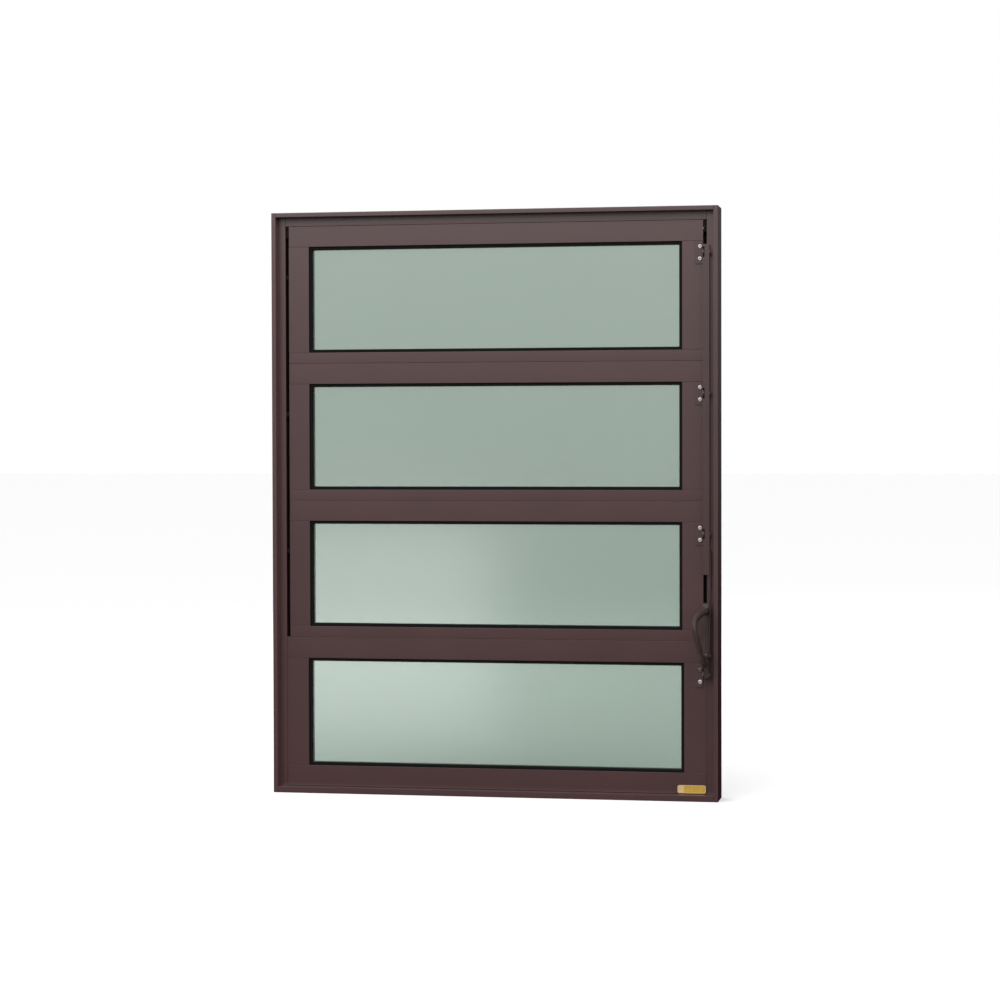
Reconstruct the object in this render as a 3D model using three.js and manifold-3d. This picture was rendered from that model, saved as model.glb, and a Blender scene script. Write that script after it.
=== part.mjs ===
// Lever-operated tilting window: an outer frame holding three horizontal sashes that tilt together
// and one fixed light below them. A push-pull bar in the right-hand recess links the sashes to a
// hand lever. Units are millimetres. X runs to the right, Y away from the room and Z up. The origin
// is the middle of the sill's underside. Parts are laid out in X, depth behind the frame's room face
// and Z; the outer group moves the room face half a frame depth towards the room.
import * as THREE from 'three';
import { mergeVertices } from 'three/addons/utils/BufferGeometryUtils.js';
import Module from 'manifold-3d';

const wasm = await Module();
wasm.setup();

// Driving dimensions
const FRAME_WIDTH = 616;
const FRAME_HEIGHT = 800;
const FRAME_DEPTH = 50;
const WALL = 1.5;
const GAP = 0.3;
const LIP_WIDTH = 5.8;
const LIP_DEPTH = 14;
const JAMB_WIDTH = 16.1;
const HEAD_HEIGHT = 17.6;
const SILL_HEIGHT = 8.5;
const DOWNSTAND_HEIGHT = 9.8;
const DOWNSTAND_THICKNESS = 2.5;

const SASH_COUNT = 3;
const SASH_PITCH = 189;
const FIRST_SASH_TOP = 782;
const SASH_SIDE_GAP = 4.9;
const SASH_FRONT = LIP_DEPTH;
const SASH_BACK = 34;
const STILE_WIDTH = 28.4;
const TOP_RAIL_HEIGHT = 28;
const OPENING_HEIGHT = 146;
const FLANGE_HEIGHT = 12;
const FLANGE_THICKNESS = 2.5;
const OVERLAP_FRONT = 17.2;
const OVERLAP_HEIGHT = 10;
const JOINT_LINE = 0.35;
const POCKET_DEPTH = 8;
const FIN = 2;

const FIXED_TOP_RAIL_HEIGHT = 29;
const FIXED_OPENING_HEIGHT = 149;
const FIXED_STILE_WIDTH = 30.6;

const GLASS_FRONT = 20;
const GLASS_THICKNESS = 4;
const GLASS_EDGE_COVER = 6.3;
const GASKET_SHOW = 4.3;
const GASKET_WEB = 0.9;

const PIVOT_BELOW_TOP = 71;
const PIVOT_DEPTH = 19;
const PIVOT_RADIUS = 2.8;
const PIVOT_PIN_GRIP = 7;
const CRANK_FORWARD = 14.5;
const CRANK_UP = 27;
const BUSH_FLANGE_RADIUS = 4.7;
const BUSH_STEM_RADIUS = 3.7;

// The linkage lies in planes counted outward from the sash's side.
const BUSH_END = 7.2;
const CLIP_LEFT = -11;
const CLIP_RIGHT = -0.3;
const CLIP_HEIGHT = 30;
const CLIP_THICKNESS = 1.7;
const EAR_LEFT = 0.3;
const EAR_RIGHT = 2.1;
const EAR_RADIUS = 4.5;
const CLIP_PIN_RADIUS = 1.8;
const CLIP_PIN_END = 11.2;
const RIVET_X = -3.9;
const RIVET_SPACING = 16.3;
const RIVET_HEAD_RADIUS = 3.2;
const RIVET_HEAD_HEIGHT = 1.5;
const LEVER_CLIP_DROP = 2.2;

const BAR_LEFT = 0.4;
const BAR_WEB_LEFT = 3.1;
const BAR_RIGHT = 9.6;
const BAR_FRONT = 0.6;
const BAR_FLANGE_THICKNESS = 1.6;
const BAR_BACK = 7.6;
const BAR_NOTCH_HALF_HEIGHT = 7;
const BAR_TOP = 748.5;
const BAR_BOTTOM = 305.5;
const LINK_LEFT = 9.9;
const LINK_RIGHT = 11.8;
const LINK_TOP = 338;
const LINK_BEND = 292;
const LINK_WIDTH = 6.2;
const LINK_EYE_RADIUS = 4.8;
const LINK_PIN_TAIL = 1;

const LEVER_PIVOT_DEPTH = 0;
const LEVER_LEFT = 3.1;
const LEVER_RIGHT = 9.6;
const LEVER_HUB_RADIUS = 6.3;
const LEVER_ARM_RADIUS = 4.6;
const LEVER_ARM_TOP = 263.5;
const LEVER_ARM_DEPTH = 1;
const LEVER_COVER_LEFT = 0.4;
const LEVER_COVER_FROM = 194;
const GRIP_WIDTH = 7.2;
const GRIP_THICKNESS = 9.2;
const GRIP_SIDE_CLEARANCE = 0.6;
const GRIP_BOTTOM = 185;
const GRIP_TOP = 257;
const GRIP_REACH = 43;
const GRIP_SIDE_SET = 11;

const SEAL_DEPTH = 26;
const SEAL_WIDTH = 5;
const PLUG_FRONT = 14.5;
const PLUG_HEIGHT = 16;
const LABEL_WIDTH = 38.5;
const LABEL_INSET = 1.2;
const LABEL_HEIGHT = 11;
const LABEL_THICKNESS = 0.8;
const ROUND_SIDES = 24;
const PIN_HOLE_CLEARANCE = 0.3;

// Derived dimensions
const HALF_WIDTH = FRAME_WIDTH / 2;
const JAMB_INNER = HALF_WIDTH - JAMB_WIDTH;
const SASH_HALF_WIDTH = JAMB_INNER - SASH_SIDE_GAP;
const OPENING_HALF_WIDTH = SASH_HALF_WIDTH - STILE_WIDTH;
const FIXED_HALF_WIDTH = JAMB_INNER - GAP;
const FIXED_OPENING_HALF_WIDTH = FIXED_HALF_WIDTH - FIXED_STILE_WIDTH;
const FIXED_TOP = FIRST_SASH_TOP - SASH_COUNT * SASH_PITCH;
const CLIP_BELOW_TOP = PIVOT_BELOW_TOP - CRANK_UP;
const BAR_PIN_DEPTH = PIVOT_DEPTH - CRANK_FORWARD;
const LEVER_PIVOT_Z = FIXED_TOP - CLIP_BELOW_TOP;
const LINK_PIN_DEPTH = LEVER_PIVOT_DEPTH - CRANK_FORWARD;
const LINK_PIN_Z = LEVER_PIVOT_Z + CRANK_UP;
const SASH_TOPS = Array.from({ length: SASH_COUNT }, (_, i) => FIRST_SASH_TOP - i * SASH_PITCH);

const SIDES = [['left', -1], ['right', 1]];

const BRONZE = { color: 0x5b494b, roughness: 0.42, metalness: 0.7 };
const RUBBER = { color: 0x14120f, roughness: 0.75, metalness: 0 };
const GLASS = { color: 0x98a99d, roughness: 0.06, metalness: 0 };
const STEEL = { color: 0xc9c2c4, roughness: 0.3, metalness: 0.9 };
const BLACK_STEEL = { color: 0x211c1c, roughness: 0.5, metalness: 0.6 };
const NYLON = { color: 0x2b2928, roughness: 0.6, metalness: 0 };
const BRASS = { color: 0xb3893f, roughness: 0.35, metalness: 0.8 };

const room = new THREE.Group();

function addPiece(name, geometry, finish) {
  const mesh = new THREE.Mesh(geometry, new THREE.MeshStandardMaterial(finish));
  mesh.name = name;
  room.add(mesh);
}

// Boolean work
function toSolid(geometry) {
  const bare = geometry.clone();
  bare.deleteAttribute('normal');
  bare.deleteAttribute('uv');
  const merged = mergeVertices(bare, 1e-4);
  return new wasm.Manifold(new wasm.Mesh({
    numProp: 3,
    vertProperties: new Float32Array(merged.attributes.position.array),
    triVerts: new Uint32Array(merged.index.array),
  }));
}

function toGeometry(solid) {
  const mesh = solid.getMesh();
  const geometry = new THREE.BufferGeometry();
  geometry.setAttribute('position', new THREE.BufferAttribute(new Float32Array(mesh.vertProperties), 3));
  geometry.setIndex(Array.from(mesh.triVerts));
  return geometry;
}

function join(...geometries) {
  return toGeometry(geometries.map(toSolid).reduce((sum, solid) => sum.add(solid)));
}

function cut(geometry, ...tools) {
  return toGeometry(tools.map(toSolid).reduce((rest, tool) => rest.subtract(tool), toSolid(geometry)));
}

// Outlines and prisms
function turned(points, clockwise) {
  const path = points.map(([a, b]) => new THREE.Vector2(a, b));
  return THREE.ShapeUtils.isClockWise(path) === clockwise ? path : path.reverse();
}

function outline(points, hole) {
  const shape = new THREE.Shape(turned(points, false));
  if (hole) shape.holes.push(new THREE.Path(turned(hole, true)));
  return shape;
}

// A prism from z0 to z1 whose shape is drawn in X and depth.
function alongZ(shape, [z0, z1]) {
  const prism = new THREE.ExtrudeGeometry(shape, { depth: z1 - z0, bevelEnabled: false });
  return prism.translate(0, 0, z0);
}

// A prism from x0 to x1 whose shape is drawn in depth and Z.
function alongX(shape, [x0, x1]) {
  const settings = { depth: x1 - x0, bevelEnabled: false, curveSegments: 10 };
  const prism = new THREE.ExtrudeGeometry(shape, settings);
  const basis = new THREE.Matrix4().makeBasis(
    new THREE.Vector3(0, 1, 0), new THREE.Vector3(0, 0, 1), new THREE.Vector3(1, 0, 0));
  return prism.applyMatrix4(basis).translate(x0, 0, 0);
}

function box([x0, x1], [d0, d1], [z0, z1]) {
  const block = new THREE.BoxGeometry(x1 - x0, d1 - d0, z1 - z0);
  return block.translate((x0 + x1) / 2, (d0 + d1) / 2, (z0 + z1) / 2);
}

function rod(radius, [x0, x1], depth, z) {
  const cylinder = new THREE.CylinderGeometry(radius, radius, x1 - x0, ROUND_SIDES);
  return cylinder.rotateZ(Math.PI / 2).translate((x0 + x1) / 2, depth, z);
}

// A span in X between two linkage planes on the right-hand side.
function planes(near, far) {
  return [SASH_HALF_WIDTH + near, SASH_HALF_WIDTH + far];
}

// A span in X between two distances from the middle, on the given side.
function span(side, inner, outer) {
  return side > 0 ? [inner, outer] : [-outer, -inner];
}

// A flat strip with round ends between two points given as [depth, z].
function strap([d0, z0], [d1, z1], radius, [x0, x1]) {
  const angle = Math.atan2(z1 - z0, d1 - d0);
  const shape = new THREE.Shape();
  shape.absarc(d1, z1, radius, angle - Math.PI / 2, angle + Math.PI / 2, false);
  shape.absarc(d0, z0, radius, angle + Math.PI / 2, angle + 1.5 * Math.PI, false);
  shape.closePath();
  return alongX(shape, [x0, x1]);
}

// Outer frame: hollow aluminium members with a proud lip round the room side.
function jambGeometry(side) {
  const x = (inward) => side * (HALF_WIDTH - inward);
  const profile = outline([
    [x(0), 0], [x(LIP_WIDTH), 0], [x(LIP_WIDTH), LIP_DEPTH], [x(JAMB_WIDTH), LIP_DEPTH],
    [x(JAMB_WIDTH), FRAME_DEPTH], [x(0), FRAME_DEPTH],
  ], [
    [x(WALL), WALL], [x(LIP_WIDTH - WALL), WALL], [x(LIP_WIDTH - WALL), LIP_DEPTH + WALL],
    [x(JAMB_WIDTH - WALL), LIP_DEPTH + WALL], [x(JAMB_WIDTH - WALL), FRAME_DEPTH - WALL],
    [x(WALL), FRAME_DEPTH - WALL],
  ]);
  const wall = span(side, JAMB_INNER - 1, JAMB_INNER + WALL + 1);
  const pivots = SASH_TOPS.map((top) => top - PIVOT_BELOW_TOP);
  const holes = pivots.map((z) => rod(BUSH_STEM_RADIUS + GAP, wall, PIVOT_DEPTH, z));
  return cut(alongZ(profile, [0, FRAME_HEIGHT]), ...holes);
}

// Clears the jambs, so that a cross member is coped round them at both ends.
function copeEnds(member, z0, z1) {
  const outer = HALF_WIDTH + 1;
  const heights = [z0 - 1, z1 + 1];
  const cutters = [-1, 1].flatMap((side) => [
    box(span(side, HALF_WIDTH - LIP_WIDTH - GAP, outer), [-1, LIP_DEPTH], heights),
    box(span(side, FIXED_HALF_WIDTH, outer), [LIP_DEPTH - GAP, FRAME_DEPTH + 1], heights),
  ]);
  return cut(member, ...cutters);
}

function headGeometry() {
  const top = FRAME_HEIGHT;
  const bottom = top - HEAD_HEIGHT;
  const stop = bottom - DOWNSTAND_HEIGHT;
  const stopBack = OVERLAP_FRONT + DOWNSTAND_THICKNESS;
  const band = LIP_DEPTH;
  const profile = outline([
    [0, top], [0, top - LIP_WIDTH], [band, top - LIP_WIDTH], [band, bottom],
    [OVERLAP_FRONT, bottom], [OVERLAP_FRONT, stop], [stopBack, stop], [stopBack, bottom],
    [FRAME_DEPTH, bottom], [FRAME_DEPTH, top],
  ], [
    [WALL, top - WALL], [WALL, top - LIP_WIDTH + WALL], [band + WALL, top - LIP_WIDTH + WALL],
    [band + WALL, bottom + WALL], [FRAME_DEPTH - WALL, bottom + WALL], [FRAME_DEPTH - WALL, top - WALL],
  ]);
  const below = [-1, 1].map((side) => box(
    span(side, SASH_HALF_WIDTH, HALF_WIDTH + 1), [-1, FRAME_DEPTH + 1], [stop - 1, bottom]));
  return cut(copeEnds(alongX(profile, [-HALF_WIDTH, HALF_WIDTH]), stop, top), ...below);
}

function sillGeometry() {
  const profile = outline([
    [0, 0], [FRAME_DEPTH, 0], [FRAME_DEPTH, SILL_HEIGHT], [0, SILL_HEIGHT],
  ], [
    [WALL, WALL], [FRAME_DEPTH - WALL, WALL], [FRAME_DEPTH - WALL, SILL_HEIGHT - WALL],
    [WALL, SILL_HEIGHT - WALL],
  ]);
  return copeEnds(alongX(profile, [-HALF_WIDTH, HALF_WIDTH]), 0, SILL_HEIGHT);
}

// Sash rails and stiles: a hollow box with a glazing pocket between two fins.
function topRailGeometry(top, railHeight, halfWidth) {
  const opening = top - railHeight;
  const bodyTop = top - FLANGE_HEIGHT;
  const pocketTop = opening + POCKET_DEPTH;
  const profile = outline([
    [SASH_FRONT, opening], [SASH_FRONT, top], [SASH_FRONT + FLANGE_THICKNESS, top],
    [SASH_FRONT + FLANGE_THICKNESS, bodyTop], [SASH_BACK, bodyTop], [SASH_BACK, opening],
    [SASH_BACK - FIN, opening], [SASH_BACK - FIN, pocketTop], [SASH_FRONT + FIN, pocketTop],
    [SASH_FRONT + FIN, opening],
  ], hollow(pocketTop + WALL, bodyTop - WALL));
  return alongX(profile, [-halfWidth, halfWidth]);
}

function hollow(z0, z1) {
  const front = SASH_FRONT + WALL;
  const back = SASH_BACK - WALL;
  return [[front, z0], [back, z0], [back, z1], [front, z1]];
}

function bottomRailGeometry(top) {
  const opening = top - TOP_RAIL_HEIGHT - OPENING_HEIGHT;
  const step = top - SASH_PITCH + JOINT_LINE;
  const bottom = top - SASH_PITCH - OVERLAP_HEIGHT;
  const pocket = opening - POCKET_DEPTH;
  const inner = OVERLAP_FRONT + WALL;
  const profile = outline([
    [SASH_FRONT, opening], [SASH_FRONT, step], [OVERLAP_FRONT, step], [OVERLAP_FRONT, bottom],
    [SASH_BACK, bottom], [SASH_BACK, opening], [SASH_BACK - FIN, opening],
    [SASH_BACK - FIN, pocket], [SASH_FRONT + FIN, pocket], [SASH_FRONT + FIN, opening],
  ], [
    [inner, pocket - WALL], [inner, bottom + WALL], [SASH_BACK - WALL, bottom + WALL],
    [SASH_BACK - WALL, pocket - WALL],
  ]);
  return alongX(profile, [-SASH_HALF_WIDTH, SASH_HALF_WIDTH]);
}

function fixedBottomRailGeometry() {
  const opening = FIXED_TOP - FIXED_TOP_RAIL_HEIGHT - FIXED_OPENING_HEIGHT;
  const bottom = SILL_HEIGHT + GAP;
  const pocket = opening - POCKET_DEPTH;
  const halfWidth = FIXED_HALF_WIDTH;
  const profile = outline([
    [SASH_FRONT, opening], [SASH_FRONT, bottom], [SASH_BACK, bottom], [SASH_BACK, opening],
    [SASH_BACK - FIN, opening], [SASH_BACK - FIN, pocket], [SASH_FRONT + FIN, pocket],
    [SASH_FRONT + FIN, opening],
  ], hollow(bottom + WALL, pocket - WALL));
  return alongX(profile, [-halfWidth, halfWidth]);
}

function stileGeometry(side, inner, outer, z0, z1) {
  const x = (value) => side * value;
  const web = inner + POCKET_DEPTH;
  const profile = outline([
    [x(inner), SASH_FRONT], [x(outer), SASH_FRONT], [x(outer), SASH_BACK], [x(inner), SASH_BACK],
    [x(inner), SASH_BACK - FIN], [x(web), SASH_BACK - FIN], [x(web), SASH_FRONT + FIN],
    [x(inner), SASH_FRONT + FIN],
  ], [
    [x(web + WALL), SASH_FRONT + WALL], [x(outer - WALL), SASH_FRONT + WALL],
    [x(outer - WALL), SASH_BACK - WALL], [x(web + WALL), SASH_BACK - WALL],
  ]);
  return alongZ(profile, [z0 + GAP, z1 - GAP]);
}

function sashStileGeometry(side, top) {
  const z1 = top - TOP_RAIL_HEIGHT;
  const stile = stileGeometry(side, OPENING_HALF_WIDTH, SASH_HALF_WIDTH, z1 - OPENING_HEIGHT, z1);
  const wall = span(side, SASH_HALF_WIDTH - WALL - 1, SASH_HALF_WIDTH + 1);
  return cut(stile, rod(PIVOT_RADIUS + GAP, wall, PIVOT_DEPTH, top - PIVOT_BELOW_TOP));
}

// A mitred ring round a rectangular opening. Each section point is [distance out from the
// opening's edge, depth], and start is a distance that keeps every point positive.
function ringGeometry(section, halfWidth, halfHeight, centreZ) {
  const start = 20;
  const points = section.map(([out, depth]) => new THREE.Vector2((out + start) * Math.SQRT2, depth));
  points.push(points[0].clone());
  const ring = new THREE.LatheGeometry(points, 4, Math.PI / 4);
  const position = ring.attributes.position;
  for (let i = 0; i < position.count; i += 1) {
    const x = position.getX(i);
    const z = position.getZ(i);
    position.setX(i, x + Math.sign(x) * (halfWidth - start));
    position.setZ(i, z + Math.sign(z) * (halfHeight - start) + centreZ);
  }
  return ring;
}

// U-shaped rubber that wraps the glass edge and sits in the glazing pocket.
function gasketGeometry(halfWidth, z0, z1) {
  const front = SASH_FRONT + FIN + GAP;
  const back = SASH_BACK - FIN - GAP;
  const glassBack = GLASS_FRONT + GLASS_THICKNESS;
  const outer = POCKET_DEPTH - GAP;
  const web = outer - GASKET_WEB;
  const section = [
    [outer, front], [outer, back], [-GASKET_SHOW, back], [-GASKET_SHOW, glassBack + GAP],
    [web, glassBack + GAP], [web, GLASS_FRONT - GAP], [-GASKET_SHOW, GLASS_FRONT - GAP],
    [-GASKET_SHOW, front],
  ];
  return ringGeometry(section, halfWidth, (z1 - z0) / 2, (z0 + z1) / 2);
}

function addGlazing(prefix, halfWidth, z0, z1) {
  const half = halfWidth + GLASS_EDGE_COVER;
  const depths = [GLASS_FRONT, GLASS_FRONT + GLASS_THICKNESS];
  const heights = [z0 - GLASS_EDGE_COVER, z1 + GLASS_EDGE_COVER];
  addPiece(`${prefix}_glass`, box([-half, half], depths, heights), GLASS);
  addPiece(`${prefix}_gasket`, gasketGeometry(halfWidth, z0, z1), RUBBER);
}

// Riveted angle clip with a forward ear and its own pin along X. The plate may hang below the pin.
function clipGeometry(pinDepth, pinZ, plateZ) {
  const back = SASH_FRONT - GAP;
  const front = back - CLIP_THICKNESS;
  const half = CLIP_HEIGHT / 2;
  const earHeights = [pinZ - EAR_RADIUS, pinZ + EAR_RADIUS];
  const plate = box(planes(CLIP_LEFT, CLIP_RIGHT), [front, back], [plateZ - half, plateZ + half]);
  const neck = box(planes(CLIP_RIGHT - 1, EAR_RIGHT), [front, back], earHeights);
  const ear = box(planes(EAR_LEFT, EAR_RIGHT), [pinDepth, back], earHeights);
  const nose = rod(EAR_RADIUS, planes(EAR_LEFT, EAR_RIGHT), pinDepth, pinZ);
  const pin = rod(CLIP_PIN_RADIUS, planes(EAR_LEFT, CLIP_PIN_END), pinDepth, pinZ);
  return join(plate, neck, ear, nose, pin);
}

function rivetGeometry(z) {
  const seat = SASH_FRONT - GAP - CLIP_THICKNESS - GAP;
  const points = [new THREE.Vector2(0, 0)];
  for (let i = 0; i <= 5; i += 1) {
    const angle = (i / 5) * Math.PI / 2;
    const radius = Math.cos(angle) * RIVET_HEAD_RADIUS;
    points.push(new THREE.Vector2(radius, -Math.sin(angle) * RIVET_HEAD_HEIGHT));
  }
  points[points.length - 1].x = 0;
  return new THREE.LatheGeometry(points.reverse(), 16).translate(SASH_HALF_WIDTH + RIVET_X, seat, z);
}

function addClip(prefix, pinDepth, pinZ, drop) {
  const plateZ = pinZ - drop;
  addPiece(`${prefix}_clip`, clipGeometry(pinDepth, pinZ, plateZ), BLACK_STEEL);
  addPiece(`${prefix}_rivet_upper`, rivetGeometry(plateZ + RIVET_SPACING / 2), STEEL);
  addPiece(`${prefix}_rivet_lower`, rivetGeometry(plateZ - RIVET_SPACING / 2), STEEL);
}

function bushGeometry(side, z) {
  const seat = SASH_HALF_WIDTH + 2 * GAP;
  const end = SASH_HALF_WIDTH + BUSH_END;
  const flange = rod(BUSH_FLANGE_RADIUS, span(side, seat, FIXED_HALF_WIDTH), PIVOT_DEPTH, z);
  const stem = rod(BUSH_STEM_RADIUS, span(side, seat, end), PIVOT_DEPTH, z);
  const bore = rod(PIVOT_RADIUS + PIN_HOLE_CLEARANCE, span(side, seat - 1, end + 1), PIVOT_DEPTH, z);
  return cut(join(flange, stem), bore);
}

function pivotPinGeometry(side, z) {
  const ends = span(side, SASH_HALF_WIDTH - PIVOT_PIN_GRIP, SASH_HALF_WIDTH + BUSH_END - 1);
  return rod(PIVOT_RADIUS, ends, PIVOT_DEPTH, z);
}

function addSash(number, top) {
  const name = `sash_${number}`;
  const openingTop = top - TOP_RAIL_HEIGHT;
  const pivotZ = top - PIVOT_BELOW_TOP;
  addPiece(`${name}_top_rail`, topRailGeometry(top, TOP_RAIL_HEIGHT, SASH_HALF_WIDTH), BRONZE);
  addPiece(`${name}_bottom_rail`, bottomRailGeometry(top), BRONZE);
  for (const [label, side] of SIDES) {
    addPiece(`${name}_stile_${label}`, sashStileGeometry(side, top), BRONZE);
    addPiece(`${name}_pivot_pin_${label}`, pivotPinGeometry(side, pivotZ), STEEL);
    addPiece(`${name}_bush_${label}`, bushGeometry(side, pivotZ), NYLON);
  }
  addGlazing(name, OPENING_HALF_WIDTH, openingTop - OPENING_HEIGHT, openingTop);
  addClip(name, BAR_PIN_DEPTH, top - CLIP_BELOW_TOP, 0);
}

// Pile strip down the side gap, with a dust plug at its top that closes the gap's corner.
function sealGeometry(side) {
  const top = FRAME_HEIGHT - HEAD_HEIGHT - GAP;
  const back = SEAL_DEPTH + SEAL_WIDTH;
  const width = span(side, SASH_HALF_WIDTH + GAP, FIXED_HALF_WIDTH);
  const strip = box(width, [SEAL_DEPTH, back], [FIXED_TOP - FLANGE_HEIGHT + GAP, top]);
  return join(strip, box(width, [PLUG_FRONT, back], [top - PLUG_HEIGHT, top]));
}

function addFrame() {
  addPiece('frame_head', headGeometry(), BRONZE);
  addPiece('frame_sill', sillGeometry(), BRONZE);
  for (const [label, side] of SIDES) {
    addPiece(`side_seal_${label}`, sealGeometry(side), RUBBER);
    addPiece(`frame_jamb_${label}`, jambGeometry(side), BRONZE);
  }
}

function addFixedLight() {
  const halfWidth = FIXED_HALF_WIDTH;
  const openingTop = FIXED_TOP - FIXED_TOP_RAIL_HEIGHT;
  const openingBottom = openingTop - FIXED_OPENING_HEIGHT;
  addPiece('fixed_transom', topRailGeometry(FIXED_TOP, FIXED_TOP_RAIL_HEIGHT, halfWidth), BRONZE);
  addPiece('fixed_bottom_rail', fixedBottomRailGeometry(), BRONZE);
  for (const [label, side] of SIDES) {
    const stile = stileGeometry(side, FIXED_OPENING_HALF_WIDTH, halfWidth, openingBottom, openingTop);
    addPiece(`fixed_stile_${label}`, stile, BRONZE);
  }
  addGlazing('fixed', FIXED_OPENING_HALF_WIDTH, openingBottom, openingTop);
  addClip('lever', LEVER_PIVOT_DEPTH, LEVER_PIVOT_Z, LEVER_CLIP_DROP);
  const labelDepths = [SASH_FRONT - GAP - LABEL_THICKNESS, SASH_FRONT - GAP];
  const labelBottom = SILL_HEIGHT + 1;
  const labelRight = halfWidth - LABEL_INSET;
  const labelWidths = [labelRight - LABEL_WIDTH, labelRight];
  const labelHeights = [labelBottom, labelBottom + LABEL_HEIGHT];
  addPiece('label_plate', box(labelWidths, labelDepths, labelHeights), BRASS);
}

// The bar is a web with a thin front flange that hides the recess, notched at each clip's ear.
function barGeometry() {
  const [left, right] = planes(BAR_LEFT, BAR_RIGHT);
  const [webLeft] = planes(BAR_WEB_LEFT, BAR_RIGHT);
  const flangeBack = BAR_FRONT + BAR_FLANGE_THICKNESS;
  const profile = outline([
    [left, BAR_FRONT], [right, BAR_FRONT], [right, BAR_BACK], [webLeft, BAR_BACK],
    [webLeft, flangeBack], [left, flangeBack],
  ]);
  const cutters = SASH_TOPS.flatMap((top) => {
    const z = top - CLIP_BELOW_TOP;
    const heights = [z - BAR_NOTCH_HALF_HEIGHT, z + BAR_NOTCH_HALF_HEIGHT];
    return [
      rod(CLIP_PIN_RADIUS + PIN_HOLE_CLEARANCE, [left - 1, right + 1], BAR_PIN_DEPTH, z),
      box([left - 1, webLeft], [BAR_FRONT - 1, flangeBack + 1], heights),
    ];
  });
  return cut(alongZ(profile, [BAR_BOTTOM, BAR_TOP]), ...cutters);
}

// Push-pull bar with its cranked drive link.
function addBar() {
  addPiece('connecting_bar', barGeometry(), BRONZE);
  const hole = CLIP_PIN_RADIUS + PIN_HOLE_CLEARANCE;
  const eye = rod(hole, planes(LINK_LEFT - 1, LINK_RIGHT + 1), LINK_PIN_DEPTH, LINK_PIN_Z);
  addPiece('drive_link', cut(alongX(linkShape(), planes(LINK_LEFT, LINK_RIGHT)), eye), BLACK_STEEL);
  const pinEnds = planes(LEVER_LEFT - LINK_PIN_TAIL, LINK_RIGHT + LINK_PIN_TAIL);
  const pin = rod(CLIP_PIN_RADIUS, pinEnds, LINK_PIN_DEPTH, LINK_PIN_Z);
  addPiece('link_pin', pin, STEEL);
}

function linkShape() {
  const front = BAR_FRONT;
  const back = front + LINK_WIDTH;
  const shape = new THREE.Shape();
  shape.moveTo(front, LINK_TOP);
  shape.lineTo(back, LINK_TOP);
  shape.lineTo(back, LINK_BEND);
  shape.lineTo(LINK_PIN_DEPTH + LINK_EYE_RADIUS, LINK_PIN_Z);
  shape.absarc(LINK_PIN_DEPTH, LINK_PIN_Z, LINK_EYE_RADIUS, 0, -Math.PI, true);
  shape.lineTo(front, LINK_BEND);
  shape.closePath();
  return shape;
}

// Hand lever: a crank arm with a bowed grip that stands off into the room.
function gripGeometry() {
  const x = SASH_HALF_WIDTH + LEVER_RIGHT - GRIP_WIDTH / 2 - GRIP_SIDE_CLEARANCE;
  const rise = GRIP_TOP - GRIP_BOTTOM;
  const bow = [[0, 0, 0], [0.15, 0.5, 0.07], [0.6, 0.88, 0.39], [0.97, 1, 0.71], [0.97, 0.9, 0.86],
    [0.45, 0.62, 0.965], [0, 0.3, 1], [0, 0, 1]];
  const path = new THREE.CatmullRomCurve3(bow.map(([aside, out, up]) => new THREE.Vector3(
    x - aside * GRIP_SIDE_SET, -out * GRIP_REACH, GRIP_BOTTOM + up * rise)));
  const section = new THREE.Shape();
  section.absellipse(0, 0, GRIP_WIDTH / 2, GRIP_THICKNESS / 2, 0, 2 * Math.PI, false, 0);
  return new THREE.ExtrudeGeometry(section, { steps: 28, curveSegments: 6, extrudePath: path });
}

// Above the clip the arm is wider, so that it covers the recess.
function addLever() {
  const pivot = [LEVER_PIVOT_DEPTH, LEVER_PIVOT_Z];
  const eye = [LINK_PIN_DEPTH, LINK_PIN_Z];
  const tip = [LEVER_ARM_DEPTH, LEVER_ARM_TOP];
  const thickness = planes(LEVER_LEFT, LEVER_RIGHT);
  const hub = rod(LEVER_HUB_RADIUS, thickness, ...pivot);
  const arm = strap(pivot, tip, LEVER_ARM_RADIUS, thickness);
  const coverFoot = [LEVER_ARM_DEPTH, LEVER_COVER_FROM];
  const cover = strap(coverFoot, tip, LEVER_ARM_RADIUS, planes(LEVER_COVER_LEFT, LEVER_RIGHT));
  const lug = strap(pivot, eye, LINK_EYE_RADIUS, thickness);
  const body = join(hub, arm, cover, lug, gripGeometry());
  const drill = planes(LEVER_LEFT - 1, LEVER_RIGHT + 1);
  const holes = [pivot, eye].map(([d, z]) => rod(CLIP_PIN_RADIUS + PIN_HOLE_CLEARANCE, drill, d, z));
  addPiece('lever_handle', cut(body, ...holes), BRONZE);
}

addFrame();
addFixedLight();
SASH_TOPS.forEach((top, i) => addSash(i + 1, top));
addBar();
addLever();

room.position.y = -FRAME_DEPTH / 2;
const windowUnit = new THREE.Group();
windowUnit.add(room);

export default windowUnit;
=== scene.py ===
# Looks for the lever-operated tilting window: bronze aluminium members, grey-green panes, rubber
# gaskets, riveted clips, a push-pull bar and a cast hand lever, on a white studio floor.
import math

import bmesh
import bpy
from mathutils import Matrix, Vector


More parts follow.
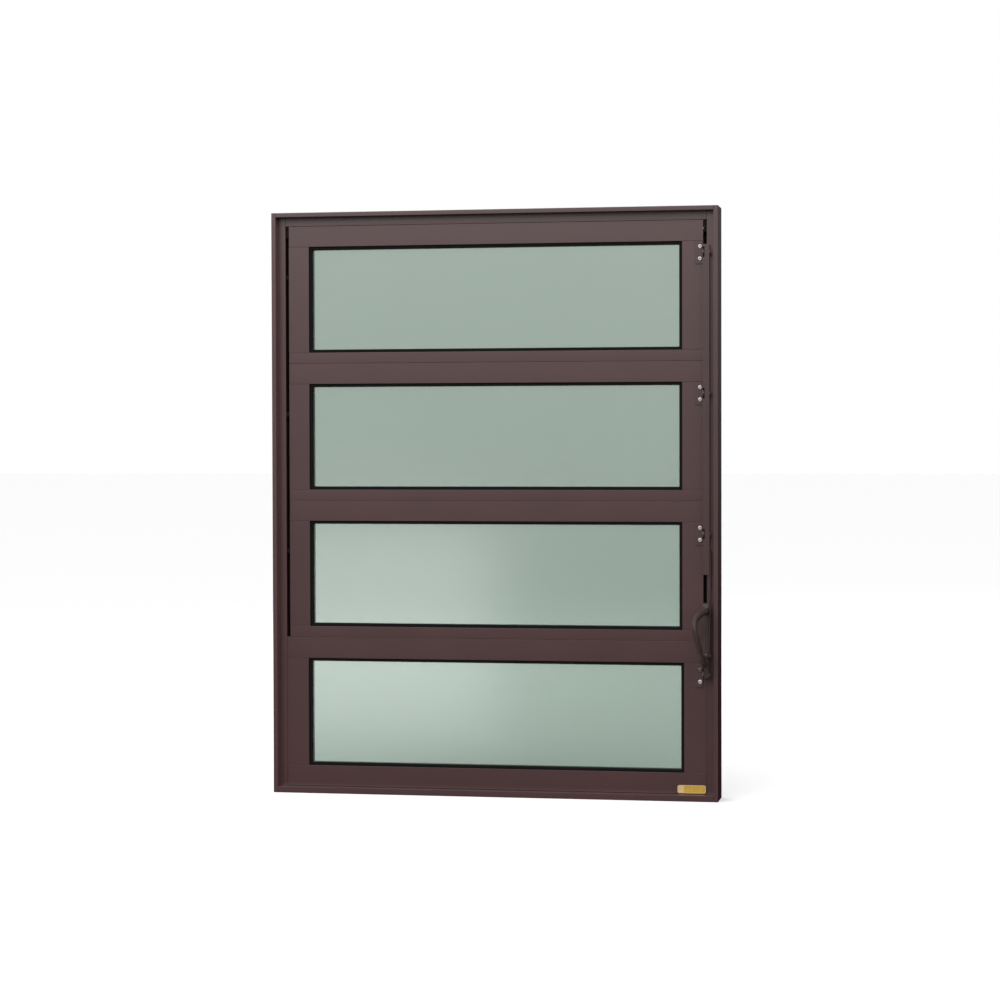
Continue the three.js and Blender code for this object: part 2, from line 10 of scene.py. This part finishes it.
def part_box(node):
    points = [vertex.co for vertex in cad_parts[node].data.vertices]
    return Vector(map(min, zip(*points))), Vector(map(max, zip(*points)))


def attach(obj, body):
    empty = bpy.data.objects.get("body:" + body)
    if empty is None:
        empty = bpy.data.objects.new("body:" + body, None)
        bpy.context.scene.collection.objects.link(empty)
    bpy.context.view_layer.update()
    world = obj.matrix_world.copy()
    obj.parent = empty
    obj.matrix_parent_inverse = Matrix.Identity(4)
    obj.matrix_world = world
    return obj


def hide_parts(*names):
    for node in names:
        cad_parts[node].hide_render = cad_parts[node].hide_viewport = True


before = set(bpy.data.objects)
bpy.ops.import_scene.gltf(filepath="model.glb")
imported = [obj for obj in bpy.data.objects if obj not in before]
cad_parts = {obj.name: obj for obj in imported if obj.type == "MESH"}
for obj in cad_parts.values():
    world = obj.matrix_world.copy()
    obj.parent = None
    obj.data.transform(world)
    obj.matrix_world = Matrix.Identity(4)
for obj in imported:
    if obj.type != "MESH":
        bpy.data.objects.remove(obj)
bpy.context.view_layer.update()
scene = bpy.context.scene

SASHES = ("sash_1", "sash_2", "sash_3")
LEVER_PIVOT_Z = 0.171
SIDES = ("left", "right")
MM = 0.001
BAR_PIN_DEPTH = 4.5 * MM
PIN_HEAD_GAP = 0.1 * MM
LINK_PIN_INNER_INSET = 2.6 * MM
NOISE_RANGE = (0.3, 0.7)
SMOOTH_ANGLE = math.radians(32)

# Camera, as placed by the corners of the window's lip
CAMERA_PLACE = Vector((0.651, -3.506, 0.492))
CAMERA_YAW = math.radians(10.41)
CAMERA_PITCH = math.radians(-1.4)
CAMERA_ROLL = math.radians(-0.14)
SENSOR = 36.0
LENS = 2605 / 1000 * SENSOR


# ---------------------------------------------------------------- node helpers
def new_material(name):
    material = bpy.data.materials.new(name)
    material.use_nodes = True
    tree = material.node_tree
    shader = tree.nodes["Principled BSDF"]
    return material, tree, shader


def add(tree, kind, **values):
    """Adds a node, with each value set on its socket of that name or on its own setting."""
    node = tree.nodes.new(kind)
    for key, value in values.items():
        if key in node.inputs:
            node.inputs[key].default_value = value
        else:
            setattr(node, key, value)
    return node


def place_noise(tree, stretch, scale, detail=3.0, rough=0.5):
    """Noise in the part's own space, stretched so that it runs along a member."""
    coords = add(tree, "ShaderNodeTexCoord")
    mapping = add(tree, "ShaderNodeMapping")
    mapping.inputs["Scale"].default_value = stretch
    noise = add(tree, "ShaderNodeTexNoise", Scale=scale, Detail=detail, Roughness=rough)
    tree.links.new(coords.outputs["Object"], mapping.inputs["Vector"])
    tree.links.new(mapping.outputs["Vector"], noise.inputs["Vector"])
    return noise.outputs["Fac"]


def spread(tree, value, low, high):
    """Maps a noise value to a range of colours."""
    ramp = add(tree, "ShaderNodeValToRGB")
    for end, position, colour in zip(ramp.color_ramp.elements, NOISE_RANGE, (low, high)):
        end.position = position
        end.color = (*colour, 1)
    tree.links.new(value, ramp.inputs["Fac"])
    return ramp.outputs["Color"]


def number_range(tree, value, low, high, low_at=NOISE_RANGE[0], high_at=NOISE_RANGE[1]):
    """Maps a value to a range of numbers."""
    node = add(tree, "ShaderNodeMapRange")
    node.inputs["From Min"].default_value = low_at
    node.inputs["From Max"].default_value = high_at
    node.inputs["To Min"].default_value = low
    node.inputs["To Max"].default_value = high
    tree.links.new(value, node.inputs["Value"])
    return node.outputs["Result"]


def bump(tree, shader, value, distance, strength=1.0, under=None):
    """Raises the surface by a value, over an earlier bump where there is one. distance is in metres."""
    node = add(tree, "ShaderNodeBump", Strength=strength, Distance=distance)
    tree.links.new(value, node.inputs["Height"])
    if under is not None:
        tree.links.new(under.outputs["Normal"], node.inputs["Normal"])
    tree.links.new(node.outputs["Normal"], shader.inputs["Normal"])
    return node


def scaled(colour, factor):
    return tuple(channel * factor for channel in colour)


# ---------------------------------------------------------------- materials
BRONZE = (0.085, 0.038, 0.0395)
BRONZE_ROUGHNESS = (0.275, 0.31)
DRAWN_STRETCH = 0.008


def bronze(name, along, colour=BRONZE):
    """Satin bronze finish with drawn lines along an extrusion. along is "x" or "z"."""
    material, tree, shader = new_material(name)
    stretch = (DRAWN_STRETCH, 1, 1) if along == "x" else (1, 1, DRAWN_STRETCH)
    cloud = place_noise(tree, (1, 1, 1), 9.0)
    shades = spread(tree, cloud, scaled(colour, 0.93), scaled(colour, 1.07))
    tree.links.new(shades, shader.inputs["Base Color"])
    lines = place_noise(tree, stretch, 2600.0, rough=0.6)
    tree.links.new(number_range(tree, lines, *BRONZE_ROUGHNESS), shader.inputs["Roughness"])
    drawn = bump(tree, shader, lines, 0.000003)
    peel = place_noise(tree, (1, 1, 1), 520.0, detail=2.0)
    bump(tree, shader, peel, 0.000012, under=drawn)
    shader.inputs["Metallic"].default_value = 0.1
    shader.inputs["Specular IOR Level"].default_value = 0.85
    return material


def cast_bronze():
    """Finish of the cast lever: darker than the members and a little uneven."""
    material, tree, shader = new_material("cast_bronze")
    colour = (0.060, 0.034, 0.034)
    cloud = place_noise(tree, (1, 1, 1), 38.0)
    shades = spread(tree, cloud, scaled(colour, 0.8), scaled(colour, 1.25))
    tree.links.new(shades, shader.inputs["Base Color"])
    grain = place_noise(tree, (1, 1, 1), 1100.0, detail=5.0, rough=0.65)
    tree.links.new(number_range(tree, grain, 0.40, 0.52), shader.inputs["Roughness"])
    drawn = bump(tree, shader, grain, 0.00005)
    bump(tree, shader, cloud, 0.0003, under=drawn)
    shader.inputs["Metallic"].default_value = 0.1
    shader.inputs["Specular IOR Level"].default_value = 0.45
    return material


def tinted_glass():
    """Pale grey-green pane: smooth face over a translucent body."""
    material, tree, shader = new_material("tinted_glass")
    colour = (0.365, 0.452, 0.396)
    cloud = place_noise(tree, (1, 1, 1), 3.0, detail=1.0)
    shades = spread(tree, cloud, scaled(colour, 0.985), scaled(colour, 1.015))
    tree.links.new(shades, shader.inputs["Base Color"])
    waves = place_noise(tree, (1, 1, 1), 14.0, detail=1.0)
    bump(tree, shader, waves, 0.00010, strength=0.5)
    shader.inputs["Roughness"].default_value = 0.12
    shader.inputs["Transmission Weight"].default_value = 0.85
    shader.inputs["IOR"].default_value = 1.52
    shader.inputs["Specular IOR Level"].default_value = 0.2
    shader.inputs["Coat Weight"].default_value = 1.0
    shader.inputs["Coat Roughness"].default_value = 0.16
    shader.inputs["Coat IOR"].default_value = 1.52
    return material


def rubber(name, colour, roughness):
    """Matt rubber or plastic with a fine grain."""
    material, tree, shader = new_material(name)
    grain = place_noise(tree, (1, 1, 1), 700.0, detail=4.0)
    shades = spread(tree, grain, scaled(colour, 0.8), scaled(colour, 1.2))
    tree.links.new(shades, shader.inputs["Base Color"])
    tree.links.new(number_range(tree, grain, roughness - 0.07, roughness + 0.07), shader.inputs["Roughness"])
    bump(tree, shader, grain, 0.00006)
    shader.inputs["Specular IOR Level"].default_value = 0.18
    return material


def pile():
    """Black pile strip: short fibres standing across the gap."""
    material, tree, shader = new_material("pile")
    fibres = place_noise(tree, (0.08, 1, 1), 1600.0)
    shades = spread(tree, fibres, (0.007, 0.006, 0.006), (0.022, 0.019, 0.018))
    tree.links.new(shades, shader.inputs["Base Color"])
    bump(tree, shader, fibres, 0.0004)
    shader.inputs["Roughness"].default_value = 0.95
    shader.inputs["Specular IOR Level"].default_value = 0.1
    return material


def metal(name, colour, roughness):
    """Bare metal with a fine grain."""
    material, tree, shader = new_material(name)
    grain = place_noise(tree, (1, 1, 1), 500.0, detail=4.0, rough=0.6)
    tree.links.new(spread(tree, grain, scaled(colour, 0.85), colour), shader.inputs["Base Color"])
    tree.links.new(number_range(tree, grain, roughness - 0.06, roughness + 0.1), shader.inputs["Roughness"])
    bump(tree, shader, grain, 0.00003)
    shader.inputs["Metallic"].default_value = 1.0
    return material


def coated_steel(name, colour, roughness, specular):
    """Painted metal with a fine grain."""
    material, tree, shader = new_material(name)
    grain = place_noise(tree, (1, 1, 1), 800.0, detail=4.0)
    shades = spread(tree, grain, scaled(colour, 0.9), scaled(colour, 1.1))
    tree.links.new(shades, shader.inputs["Base Color"])
    tree.links.new(number_range(tree, grain, roughness - 0.06, roughness + 0.06), shader.inputs["Roughness"])
    bump(tree, shader, grain, 0.00003)
    shader.inputs["Metallic"].default_value = 0.1
    shader.inputs["Specular IOR Level"].default_value = specular
    return material


def plate_gold(pale_until):
    """Printed gold foil on a thin plate, paler at its left end."""
    material, tree, shader = new_material("gold_plate")
    coords = add(tree, "ShaderNodeTexCoord")
    axes = add(tree, "ShaderNodeSeparateXYZ")
    tree.links.new(coords.outputs["Object"], axes.inputs["Vector"])
    along = number_range(tree, axes.outputs["X"], 0.0, 1.0, pale_until - 0.0015, pale_until + 0.0005)
    grain = place_noise(tree, (1, 1, 1), 260.0, detail=4.0)
    tint = add(tree, "ShaderNodeMix", data_type="RGBA")
    tree.links.new(along, tint.inputs["Factor"])
    tree.links.new(spread(tree, grain, (0.84, 0.62, 0.30), (0.92, 0.70, 0.36)), tint.inputs[6])
    tree.links.new(spread(tree, grain, (0.70, 0.43, 0.065), (0.80, 0.51, 0.085)), tint.inputs[7])
    tree.links.new(tint.outputs[2], shader.inputs["Base Color"])
    tree.links.new(number_range(tree, grain, 0.34, 0.46), shader.inputs["Roughness"])
    bump(tree, shader, grain, 0.00003)
    shader.inputs["Metallic"].default_value = 0.3
    return material


LABEL_LOW, LABEL_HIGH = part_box("label_plate")

bronze_x = bronze("bronze_x", "x")
bronze_z = bronze("bronze_z", "z")
# The bar gets a copy of the frame's bronze darkened to 0.8: painted shade on the bar's face.
bar_bronze_painted_shade = bronze("bar_bronze_painted_shade", "z", colour=scaled(BRONZE, 0.8))
lever_finish = cast_bronze()
glass = tinted_glass()
gasket_rubber = rubber("gasket_rubber", (0.0030, 0.0026, 0.0026), 0.7)
joint_filler = rubber("joint_filler", (0.085, 0.040, 0.041), 0.45)
nylon = rubber("nylon", (0.004, 0.0035, 0.0035), 0.7)
side_pile = pile()
clip_steel = coated_steel("clip_steel", (0.075, 0.034, 0.035), 0.4, 0.7)
# Dark coated steel for the drive link and the pivot pins. Its darkness is partly painted shade, standing in
# for the lever's shadow beside the bar.
dark_steel_and_painted_shade = coated_steel("dark_steel_and_painted_shade", (0.034, 0.017, 0.017), 0.6, 0.25)
bright = metal("bright_rivet", (0.82, 0.76, 0.77), 0.45)
mandrel_steel = metal("mandrel_steel", (0.62, 0.57, 0.57), 0.42)
# Dim, dark rivet finish: the lever clip's upper rivet is darker than its bright lower rivet.
dim_rivet = metal("dim_rivet", (0.26, 0.19, 0.19), 0.5)
pin_steel = metal("pin_steel", (0.20, 0.165, 0.16), 0.42)
gold = plate_gold(LABEL_LOW.x + 9 * MM)
pale_gold = coated_steel("pale_gold", (0.80, 0.58, 0.27), 0.4, 0.5)


# ---------------------------------------------------------------- carried-over CAD nodes
def dress(node, material):
    node.data.materials.clear()
    node.data.materials.append(material)
    for polygon in node.data.polygons:
        polygon.use_smooth = True
    weld = node.modifiers.new("weld", "WELD")
    weld.merge_threshold = 1e-6


def flatten_shading(node):
    normals = node.modifiers.new("flat_faces", "WEIGHTED_NORMAL")
    normals.keep_sharp = False
    normals.weight = 100
    normals.mode = "FACE_AREA"


def finish_node(name, material, width=0.25 * MM, segments=2):
    """Gives a CAD node its material, softened edges and clean shading on its flat faces."""
    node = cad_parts[name]
    dress(node, material)
    edges = node.modifiers.new("edges", "BEVEL")
    edges.width = width
    edges.segments = segments
    edges.limit_method = "ANGLE"
    edges.angle_limit = math.radians(35)
    flatten_shading(node)
    return node


def finish_casting(name, material, voxel):
    """Turns a node's hard corners into the blended fillets of a casting."""
    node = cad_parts[name]
    dress(node, material)
    remesh = node.modifiers.new("skin", "REMESH")
    remesh.mode = "VOXEL"
    remesh.voxel_size = voxel
    remesh.use_smooth_shade = True
    blend = node.modifiers.new("fillets", "SMOOTH")
    blend.factor = 0.5
    blend.iterations = 7
    return node


for part in ("frame_head", "frame_sill", "fixed_transom", "fixed_bottom_rail"):
    finish_node(part, bronze_x)
for sash in SASHES:
    finish_node(f"{sash}_top_rail", bronze_x)
    finish_node(f"{sash}_bottom_rail", bronze_x)
for side in SIDES:
    finish_node(f"frame_jamb_{side}", bronze_z)
    finish_node(f"fixed_stile_{side}", bronze_z, width=0.15 * MM)
    finish_node(f"side_seal_{side}", side_pile, width=0.6 * MM)
    for sash in SASHES:
        finish_node(f"{sash}_stile_{side}", bronze_z, width=0.15 * MM)
        finish_node(f"{sash}_pivot_pin_{side}", dark_steel_and_painted_shade, width=0.3 * MM)
        finish_node(f"{sash}_bush_{side}", nylon, width=0.3 * MM)
for light in (*SASHES, "fixed"):
    finish_node(f"{light}_glass", glass, width=0.3 * MM)
    finish_node(f"{light}_gasket", gasket_rubber, width=0.9 * MM, segments=3)
for light in (*SASHES, "lever"):
    finish_node(f"{light}_clip", clip_steel, width=0.4 * MM, segments=3)
finish_node("connecting_bar", bar_bronze_painted_shade, width=0.5 * MM, segments=3)
finish_node("drive_link", dark_steel_and_painted_shade, width=0.4 * MM, segments=3)
finish_node("link_pin", pin_steel, width=0.3 * MM)
finish_casting("lever_handle", lever_finish, 0.55 * MM)


# ---------------------------------------------------------------- fine pieces built here
def mesh_piece(name, vertices, faces, material, body):
    """A piece of the visual model, smooth except at its sharp edges."""
    mesh = bpy.data.meshes.new(name)
    mesh.from_pydata([tuple(point) for point in vertices], [], faces)
    mesh.materials.append(material)
    shape = bmesh.new()
    shape.from_mesh(mesh)
    bmesh.ops.recalc_face_normals(shape, faces=shape.faces)
    for face in shape.faces:
        face.smooth = True
    for edge in shape.edges:
        edge.smooth = edge.calc_face_angle(0) < SMOOTH_ANGLE
    shape.to_mesh(mesh)
    shape.free()
    piece = bpy.data.objects.new(name, mesh)
    scene.collection.objects.link(piece)
    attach(piece, body)
    return piece


def turned_piece(name, profile, centre, outward, material, body, sides=32):
    """A turned piece. profile lists (radius, height) in mm from its outer face back to its seat."""
    turn = Vector((0, 0, 1)).rotation_difference(Vector(outward)).to_matrix()
    vertices, faces = [], []
    for radius, height in profile:
        for k in range(sides):
            angle = 2 * math.pi * k / sides
            point = Vector((radius * math.cos(angle), radius * math.sin(angle), height)) * MM
            vertices.append(Vector(centre) + turn @ point)
    for ring in range(len(profile) - 1):
        for k in range(sides):
            a = ring * sides + k
            b = ring * sides + (k + 1) % sides
            faces.append((a, b, b + sides, a + sides))
    last = (len(profile) - 1) * sides
    faces.append(tuple(range(sides)))
    faces.append(tuple(last + k for k in reversed(range(sides))))
    return mesh_piece(name, vertices, faces, material, body)


RIVET_PROFILE = (
    (1.05, 0.62), (1.25, 0.72), (1.42, 1.22), (1.60, 1.42), (1.85, 1.47), (2.25, 1.38), (2.65, 1.10),
    (2.95, 0.72), (3.12, 0.34), (3.16, 0.08), (3.10, 0.0),
)
MANDREL_PROFILE = ((0.55, 1.26), (0.74, 1.20), (0.88, 1.04), (0.94, 0.80), (0.94, 0.40))
PIN_HEAD_PROFILE = ((0.9, 0.92), (1.6, 0.84), (2.15, 0.62), (2.45, 0.32), (2.5, 0.0))
WASHER_PROFILE = ((2.3, 0.42), (3.25, 0.42), (3.4, 0.30), (3.4, 0.05), (3.3, 0.0))
WASHER_THICKNESS = 0.44 * MM


def add_rivet(clip, place, body, collar_finish, mandrel_finish):
    """A pop rivet: domed collar with the snapped mandrel down in its middle."""
    node = f"{clip}_rivet_{place}"
    low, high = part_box(node)
    seat = ((low.x + high.x) / 2, high.y, (low.z + high.z) / 2)
    outward = (0, -1, 0)
    collar = turned_piece(f"{node}_collar", RIVET_PROFILE, seat, outward, collar_finish, body)
    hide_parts(node)
    turned_piece(f"{node}_mandrel", MANDREL_PROFILE, seat, outward, mandrel_finish, body,
                 sides=16)


def add_pin_head(name, face_x, y, z, body):
    """A washer and the upset head of a pin, on the right-hand face that the pin comes through."""
    axis = (1, 0, 0)
    turned_piece(f"{name}_washer", WASHER_PROFILE, (face_x, y, z), axis, pin_steel, body)
    seat = face_x + WASHER_THICKNESS
    turned_piece(f"{name}_head", PIN_HEAD_PROFILE, (seat, y, z), axis, pin_steel, body)


FILLER_OFFSET = 0.15 * MM
FILLER_SET_BACK = 0.12 * MM
FILLER_HALF = 0.16 * MM
FILLER_WAIST = 0.10 * MM
FILLER_HOLLOW = 0.3 * MM
FILLER_END_GAP = 0.2 * MM


def add_joint_fillers(body, stile_nodes):
    """Thin sealant in the butt joints between the stiles and the rails above and below them."""
    for stile_node in stile_nodes:
        low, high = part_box(stile_node)
        front, back = low.y + FILLER_SET_BACK, high.y - FILLER_SET_BACK
        section = (
            (front, -FILLER_HALF), (front + FILLER_HOLLOW, -FILLER_WAIST), (front, FILLER_HALF),
            (back, FILLER_HALF), (back - FILLER_HOLLOW, FILLER_WAIST), (back, -FILLER_HALF),
        )
        ends = (low.x + FILLER_END_GAP, high.x - FILLER_END_GAP)
        count = len(section)
        faces = [(k, (k + 1) % count, (k + 1) % count + count, k + count) for k in range(count)]
        faces += [tuple(range(count)), tuple(range(2 * count - 1, count - 1, -1))]
        for place, z in (("upper", high.z + FILLER_OFFSET), ("lower", low.z - FILLER_OFFSET)):
            name = f"{stile_node}_joint_{place}"
            vertices = [(x, y, z + dz) for x in ends for y, dz in section]
            mesh_piece(name, vertices, faces, joint_filler, body)


LABEL_CORNER = 2.8 * MM
LABEL_CORNER_STEPS = 6
FOIL_INSET = 1.0 * MM
RIM_WIDTH = 0.95 * MM


def rounded_ring(x0, x1, z0, z1, radius, y):
    """Points of an upright rectangle with rounded corners."""
    points = []
    corners = ((x1 - radius, z1 - radius, 0), (x0 + radius, z1 - radius, 90),
               (x0 + radius, z0 + radius, 180), (x1 - radius, z0 + radius, 270))
    for cx, cz, start in corners:
        for k in range(LABEL_CORNER_STEPS + 1):
            angle = math.radians(start + 90 * k / LABEL_CORNER_STEPS)
            points.append((cx + radius * math.cos(angle), y, cz + radius * math.sin(angle)))
    return points


def label_rings(levels):
    """Vertices of rounded outlines of the label, one for each (inset, y), and the faces between them."""
    low, high = LABEL_LOW, LABEL_HIGH
    vertices, faces = [], []
    for inset, y in levels:
        sides = (low.x + inset, high.x - inset, low.z + inset, high.z - inset)
        vertices += rounded_ring(*sides, LABEL_CORNER - inset, y)
    count = len(vertices) // len(levels)
    for ring in range(len(levels) - 1):
        for k in range(count):
            a = ring * count + k
            b = ring * count + (k + 1) % count
            faces.append((a, b, b + count, a + count))
    return vertices, faces, count


def add_label():
    """A blank gold plate with rounded corners, inside a pale raised rim."""
    back = LABEL_HIGH.y
    front = LABEL_LOW.y
    foil = (
        (FOIL_INSET, back), (FOIL_INSET, front + 0.35 * MM), (FOIL_INSET + 0.1 * MM, front + 0.25 * MM),
    )
    vertices, faces, count = label_rings(foil)
    faces.append(tuple(range(count)))
    faces.append(tuple(range(len(vertices) - 1, len(vertices) - count - 1, -1)))
    plate = mesh_piece("label_foil", vertices, faces, gold, "frame")
    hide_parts("label_plate")
    rim = (
        (0.0, back), (0.0, front + 0.2 * MM), (0.2 * MM, front), (RIM_WIDTH - 0.15 * MM, front),
        (RIM_WIDTH, front + 0.2 * MM), (RIM_WIDTH, back), (0.0, back),
    )
    vertices, faces, _ = label_rings(rim)
    mesh_piece("label_rim", vertices, faces, pale_gold, "frame")


for sash in SASHES:
    add_rivet(sash, "upper", sash, bright, mandrel_steel)
    add_rivet(sash, "lower", sash, bright, mandrel_steel)
add_rivet("lever", "upper", "frame", dim_rivet, dim_rivet)
add_rivet("lever", "lower", "frame", bright, mandrel_steel)

for sash in SASHES:
    add_joint_fillers(sash, [f"{sash}_stile_{side}" for side in SIDES])
add_joint_fillers("frame", [f"fixed_stile_{side}" for side in SIDES])
add_label()

bar_low, bar_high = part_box("connecting_bar")
for sash in SASHES:
    low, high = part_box(f"{sash}_clip")
    middle_z = (low.z + high.z) / 2
    add_pin_head(f"{sash}_bar_pin", bar_high.x + PIN_HEAD_GAP, low.y + BAR_PIN_DEPTH, middle_z, sash)
low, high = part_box("lever_clip")
add_pin_head("lever_pivot", bar_high.x + PIN_HEAD_GAP, low.y + BAR_PIN_DEPTH, LEVER_PIVOT_Z, "frame")
low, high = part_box("link_pin")
pin_y, pin_z = (low.y + high.y) / 2, (low.z + high.z) / 2
outer_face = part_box("drive_link")[1].x + 0.05 * MM
inner_face = bar_low.x + LINK_PIN_INNER_INSET
turned_piece("link_pin_outer_head", PIN_HEAD_PROFILE, (outer_face, pin_y, pin_z), (1, 0, 0),
             pin_steel, "bar")
turned_piece("link_pin_inner_head", PIN_HEAD_PROFILE, (inner_face, pin_y, pin_z), (-1, 0, 0),
             pin_steel, "bar")


# ---------------------------------------------------------------- stage, lights and camera
WORLD_LOW = 0.0
WORLD_HIGH = 1.25
FLOOR_BOUNCE = 0.5
WORLD_REAR = 0.16
WORLD_RIGHT = 0.75


def add_floor():
    """A wide white floor that takes shadows and isn't seen in reflections."""
    mesh = bpy.data.meshes.new("floor")
    half = 30.0
    corners = [(-half, -half, 0), (half, -half, 0), (half, half, 0), (-half, half, 0)]
    mesh.from_pydata(corners, [], [(0, 1, 2, 3)])
    floor = bpy.data.objects.new("floor", mesh)
    scene.collection.objects.link(floor)
    material, tree, shader = new_material("floor_paint")
    shader.inputs["Base Color"].default_value = (0.95, 0.95, 0.95, 1)
    shader.inputs["Roughness"].default_value = 0.9
    shader.inputs["Emission Color"].default_value = (1, 1, 1, 1)
    shader.inputs["Emission Strength"].default_value = 0.35
    mesh.materials.append(material)
    floor.visible_diffuse = False
    floor.visible_glossy = False


def add_area(name, place, target, size, power):
    """A white rectangular light that faces its target."""
    light = bpy.data.lights.new(name, "AREA")
    light.shape = "RECTANGLE"
    light.size, light.size_y = size
    light.energy = power
    lamp = bpy.data.objects.new(name, light)
    scene.collection.objects.link(lamp)
    lamp.location = place
    lamp.rotation_euler = (Vector(target) - Vector(place)).to_track_quat("-Z", "Y").to_euler()
    return lamp


def light_only(lamp, nodes):
    """Keeps a card's light on the named CAD nodes."""
    receivers = bpy.data.collections.new(f"{lamp.name}_receivers")
    for name in nodes:
        receivers.objects.link(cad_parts[name])
    lamp.light_linking.receiver_collection = receivers


def cast_no_shadow(lamp, nodes):
    """Lets a lamp's light past the named CAD nodes, to soften the line beside the bar."""
    blockers = bpy.data.collections.new(f"{lamp.name}_blockers")
    for name in nodes:
        blockers.objects.link(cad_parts[name])
    for member in blockers.collection_objects:
        member.light_linking.link_state = "EXCLUDE"
    lamp.light_linking.blocker_collection = blockers


def add_world():
    """White to the eye and through glass. As a light it is brighter in front and above."""
    world = bpy.data.worlds.new("studio")
    world.use_nodes = True
    tree = world.node_tree
    sky = tree.nodes["Background"]
    sky.inputs["Color"].default_value = (1, 1, 1, 1)
    coords = add(tree, "ShaderNodeTexCoord")
    axes = add(tree, "ShaderNodeSeparateXYZ")
    tree.links.new(coords.outputs["Generated"], axes.inputs["Vector"])
    height = number_range(tree, axes.outputs["Z"], WORLD_LOW, WORLD_HIGH, -0.09, 0.16)
    depth = number_range(tree, axes.outputs["Y"], 1.0, WORLD_REAR, -0.25, 0.35)
    across = number_range(tree, axes.outputs["X"], 1.0, WORLD_RIGHT, -0.2, 0.6)
    bounce = number_range(tree, axes.outputs["Z"], FLOOR_BOUNCE, 0.0, -0.75, -0.35)
    lit = add(tree, "ShaderNodeMath", operation="ADD")
    tree.links.new(height, lit.inputs[0])
    tree.links.new(bounce, lit.inputs[1])
    light = add(tree, "ShaderNodeMath", operation="MULTIPLY")
    tree.links.new(lit.outputs[0], light.inputs[0])
    tree.links.new(depth, light.inputs[1])
    sided = add(tree, "ShaderNodeMath", operation="MULTIPLY")
    tree.links.new(light.outputs[0], sided.inputs[0])
    tree.links.new(across, sided.inputs[1])
    path = add(tree, "ShaderNodeLightPath")
    seen = add(tree, "ShaderNodeMath", operation="MAXIMUM")
    tree.links.new(path.outputs["Is Camera Ray"], seen.inputs[0])
    tree.links.new(path.outputs["Is Transmission Ray"], seen.inputs[1])
    strength = add(tree, "ShaderNodeMath", operation="MAXIMUM")
    tree.links.new(seen.outputs[0], strength.inputs[0])
    tree.links.new(sided.outputs[0], strength.inputs[1])
    tree.links.new(strength.outputs[0], sky.inputs["Strength"])
    scene.world = world


def add_camera():
    data = bpy.data.cameras.new("camera")
    data.sensor_width = SENSOR
    data.lens = LENS
    camera = bpy.data.objects.new("camera", data)
    scene.collection.objects.link(camera)
    camera.matrix_world = (
        Matrix.Translation(CAMERA_PLACE)
        @ Matrix.Rotation(CAMERA_YAW, 4, "Z")
        @ Matrix.Rotation(math.pi / 2 + CAMERA_PITCH, 4, "X")
        @ Matrix.Rotation(CAMERA_ROLL, 4, "Z")
    )
    scene.camera = camera


add_floor()
add_world()
front_box = add_area("front_box", (-0.9, -2.9, 2.15), (0, 0, 0.45), (2.6, 1.0), 34)
cast_no_shadow(front_box, ["connecting_bar", "drive_link"])
low_card = add_area("low_card", (-1.3, -3.5, -0.06), (0.1, 0, 0.2), (1.3, 0.6), 5.6)
light_only(low_card, [f"{light}_glass" for light in (*SASHES, "fixed")])
side_card = add_area("side_card", (1.5, -0.6, 1.3), (-0.3, 0, 0.5), (0.5, 0.5), 14)
light_only(side_card, ["frame_jamb_left"])
add_area("rear_box", (-1.6, 2.4, 1.9), (0, 0, 0.4), (1.8, 1.4), 30)
rear_fill = add_area("rear_fill", (-1.1, 2.6, 1.1), (0, 0, 0.4), (1.0, 1.4), 34)
light_only(rear_fill, [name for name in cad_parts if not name.endswith("_glass")])
add_camera()
scene.view_settings.view_transform = "Standard"
